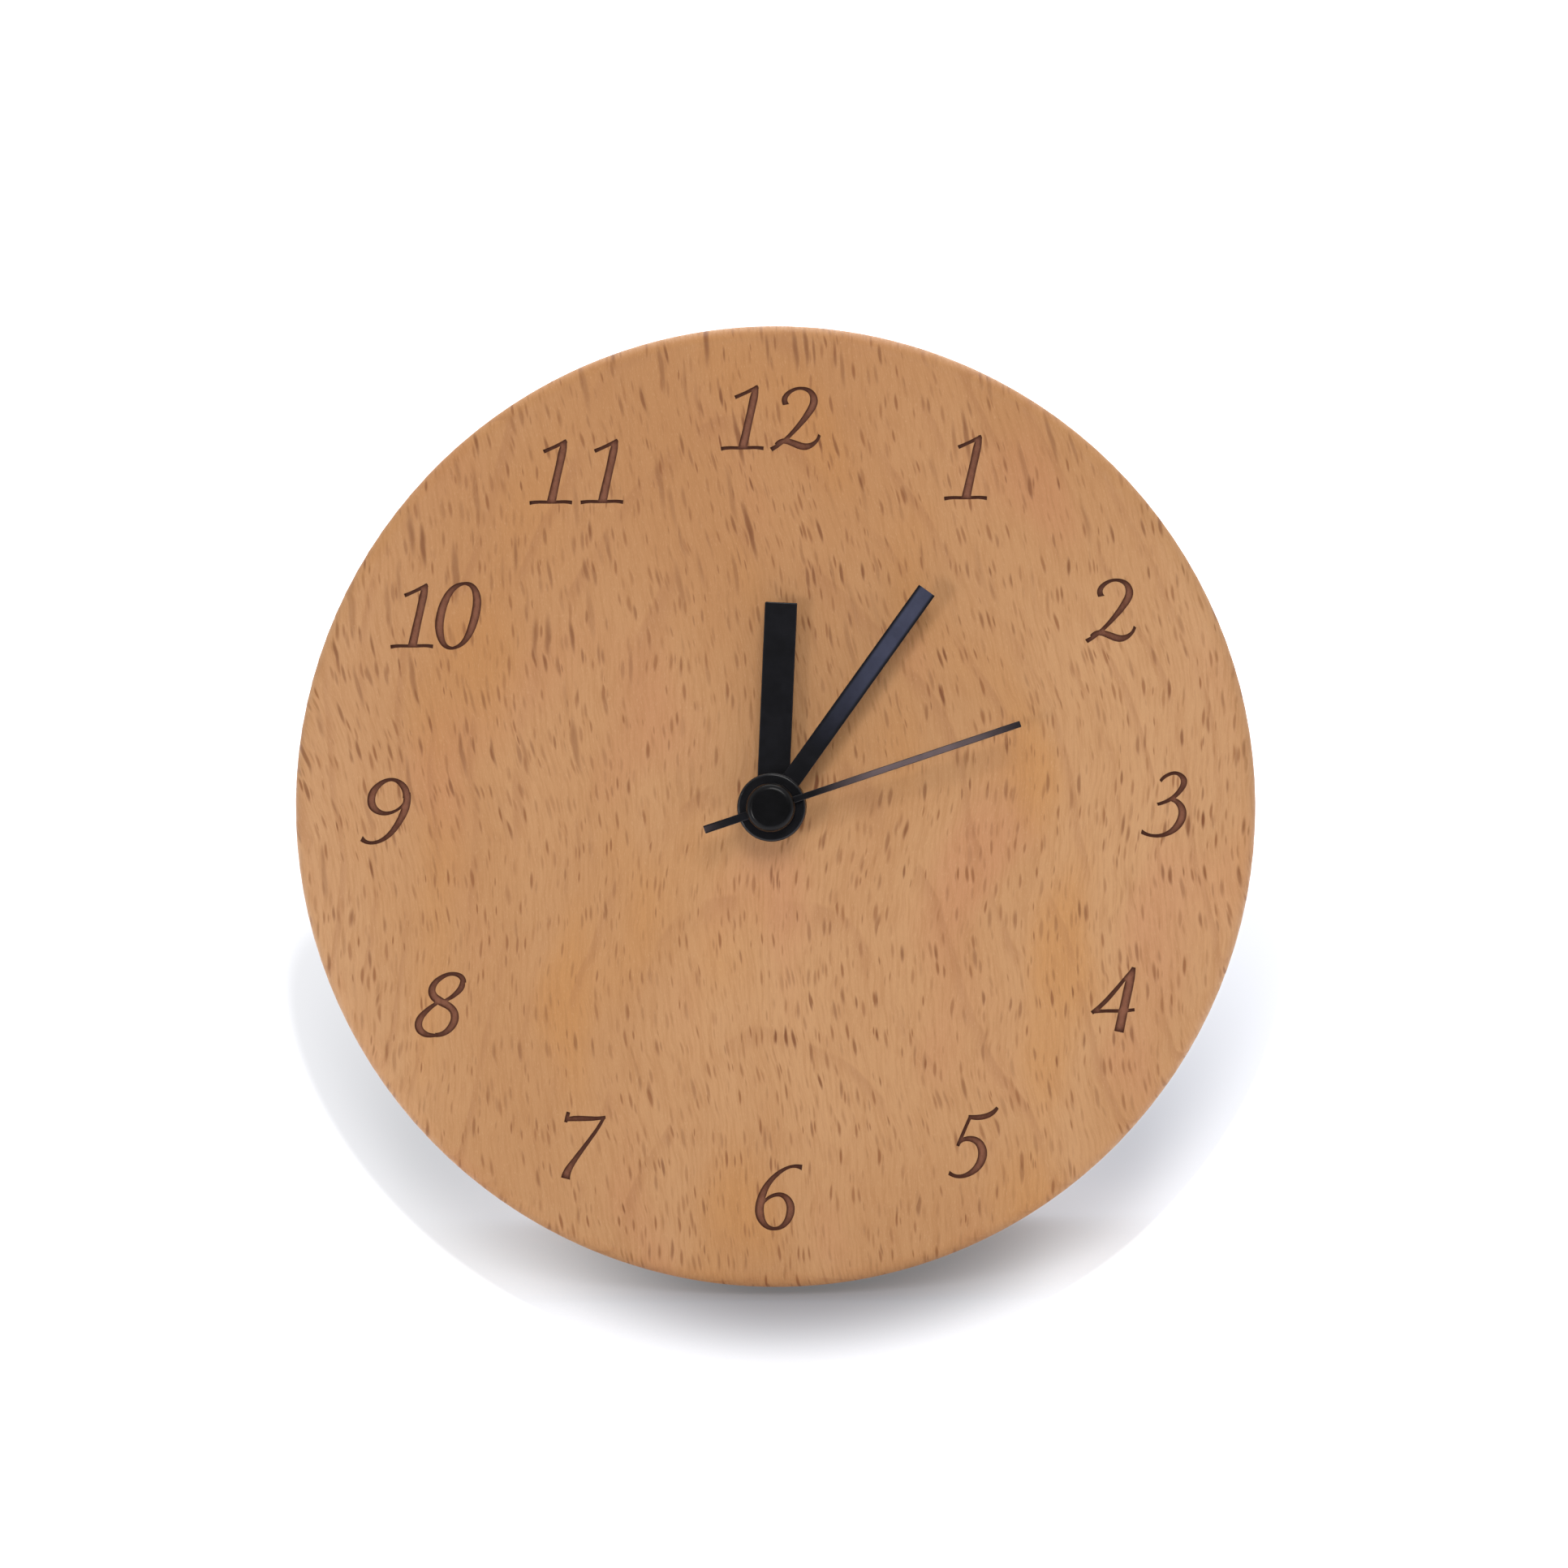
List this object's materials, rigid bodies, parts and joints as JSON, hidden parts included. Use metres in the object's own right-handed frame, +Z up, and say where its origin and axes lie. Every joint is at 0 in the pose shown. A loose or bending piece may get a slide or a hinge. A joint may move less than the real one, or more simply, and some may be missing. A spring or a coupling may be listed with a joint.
{
  "type": "wooden desk clock",
  "caption": "Round turned beech desk clock leaning back on a flat felt foot, with engraved numerals, black bar hands and a quartz movement in a rear well.",
  "frame": {"origin": "middle of the felt foot's underside, on the surface that the clock stands on", "axes": "+Z up from the desk, -Y towards the viewer of the dial, +X to the viewer's right; the dial leans back 12 degrees"},
  "size_m": [0.1196, 0.0626, 0.1182],
  "materials": {
    "beech": "oiled",
    "felt": "napped",
    "foam": "matte",
    "case_plastic": "fine moulded texture",
    "hand_black": "satin",
    "wheel_plastic": "smooth moulded",
    "knob_plastic": "fine moulded texture",
    "steel": "zinc plated",
    "spring_steel": "nickel plated",
    "iron": "laminated",
    "magnet": "ground",
    "copper": "enamelled wire",
    "bobbin_plastic": "smooth moulded",
    "board": "solder mask",
    "epoxy": "glossy",
    "cell": "satin sleeve"
  },
  "bodies": {
    "clock": {"wood_body": "beech", "felt_base": "felt", "foam_gasket": "foam", "case_front": "case_plastic", "case_back": "case_plastic", "gear_plate": "bobbin_plastic", "mounting_screws": "steel", "stator": "iron", "coil_core": "iron", "coil_bobbin": "bobbin_plastic", "coil_winding": "copper", "circuit_board": "board", "quartz_crystal": "steel", "driver_chip": "epoxy", "contact_positive": "spring_steel", "contact_negative": "spring_steel"},
    "seconds": {"second_hand": "hand_black", "second_cap": "hand_black", "seconds_arbor": "steel", "seconds_wheel": "wheel_plastic"},
    "minutes": {"minute_hand": "hand_black", "cannon_pinion": "wheel_plastic"},
    "hours": {"hour_hand": "hand_black", "hour_wheel": "wheel_plastic"},
    "motion_wheel": {"minute_wheel": "wheel_plastic"},
    "third": {"third_wheel": "wheel_plastic"},
    "centre": {"centre_wheel": "wheel_plastic"},
    "intermediate": {"intermediate_wheel": "wheel_plastic"},
    "rotor": {"rotor_magnet": "magnet", "rotor_pinion": "wheel_plastic"},
    "setting": {"setting_knob": "knob_plastic", "knob_pinion": "wheel_plastic"},
    "cell": {"battery": "cell"}
  },
  "joints": [
    {"name": "second_turn", "type": "hinge", "parent": "clock", "child": "seconds", "pos_m": [0, -0.00981, 0.0601], "axis": [0, 0.9781, -0.2079], "continuous": true},
    {"name": "intermediate_turn", "type": "hinge", "parent": "clock", "child": "intermediate", "pos_m": [0.0051, -0.00798, 0.06875], "axis": [0, 0.9781, -0.2079], "continuous": true},
    {"name": "rotor_turn", "type": "hinge", "parent": "clock", "child": "rotor", "pos_m": [0.01203, -0.00715, 0.07266], "axis": [0, 0.9781, -0.2079], "continuous": true},
    {"name": "third_turn", "type": "hinge", "parent": "clock", "child": "third", "pos_m": [-0.00883, -0.00875, 0.06509], "axis": [0, 0.9781, -0.2079], "continuous": true},
    {"name": "centre_turn", "type": "hinge", "parent": "clock", "child": "centre", "pos_m": [0, -0.00981, 0.0601], "axis": [0, 0.9781, -0.2079], "continuous": true},
    {"name": "minute_turn", "type": "hinge", "parent": "clock", "child": "minutes", "pos_m": [0, -0.00981, 0.0601], "axis": [0, 0.9781, -0.2079], "continuous": true},
    {"name": "motion_wheel_turn", "type": "hinge", "parent": "clock", "child": "motion_wheel", "pos_m": [0.0072, -0.00981, 0.0601], "axis": [0, 0.9781, -0.2079], "continuous": true},
    {"name": "hour_turn", "type": "hinge", "parent": "clock", "child": "hours", "pos_m": [0, -0.00981, 0.0601], "axis": [0, 0.9781, -0.2079], "continuous": true},
    {"name": "knob_turn", "type": "hinge", "parent": "clock", "child": "setting", "pos_m": [0.01397, -0.01033, 0.0577], "axis": [0, 0.9781, -0.2079], "continuous": true},
    {"name": "battery_slide", "type": "slide", "parent": "clock", "child": "cell", "axis": [0, 0.9781, -0.2079], "range_m": [0, 0.025]}
  ],
  "couplings": [
    {"joint": "intermediate_turn", "follows": "second_turn", "ratio": -7.5},
    {"joint": "rotor_turn", "follows": "second_turn", "ratio": 30},
    {"joint": "third_turn", "follows": "second_turn", "ratio": -0.13333},
    {"joint": "centre_turn", "follows": "second_turn", "ratio": 0.016667},
    {"joint": "motion_wheel_turn", "follows": "minute_turn", "ratio": -0.33333},
    {"joint": "hour_turn", "follows": "minute_turn", "ratio": 0.083333},
    {"joint": "knob_turn", "follows": "minute_turn", "ratio": 1}
  ]
}
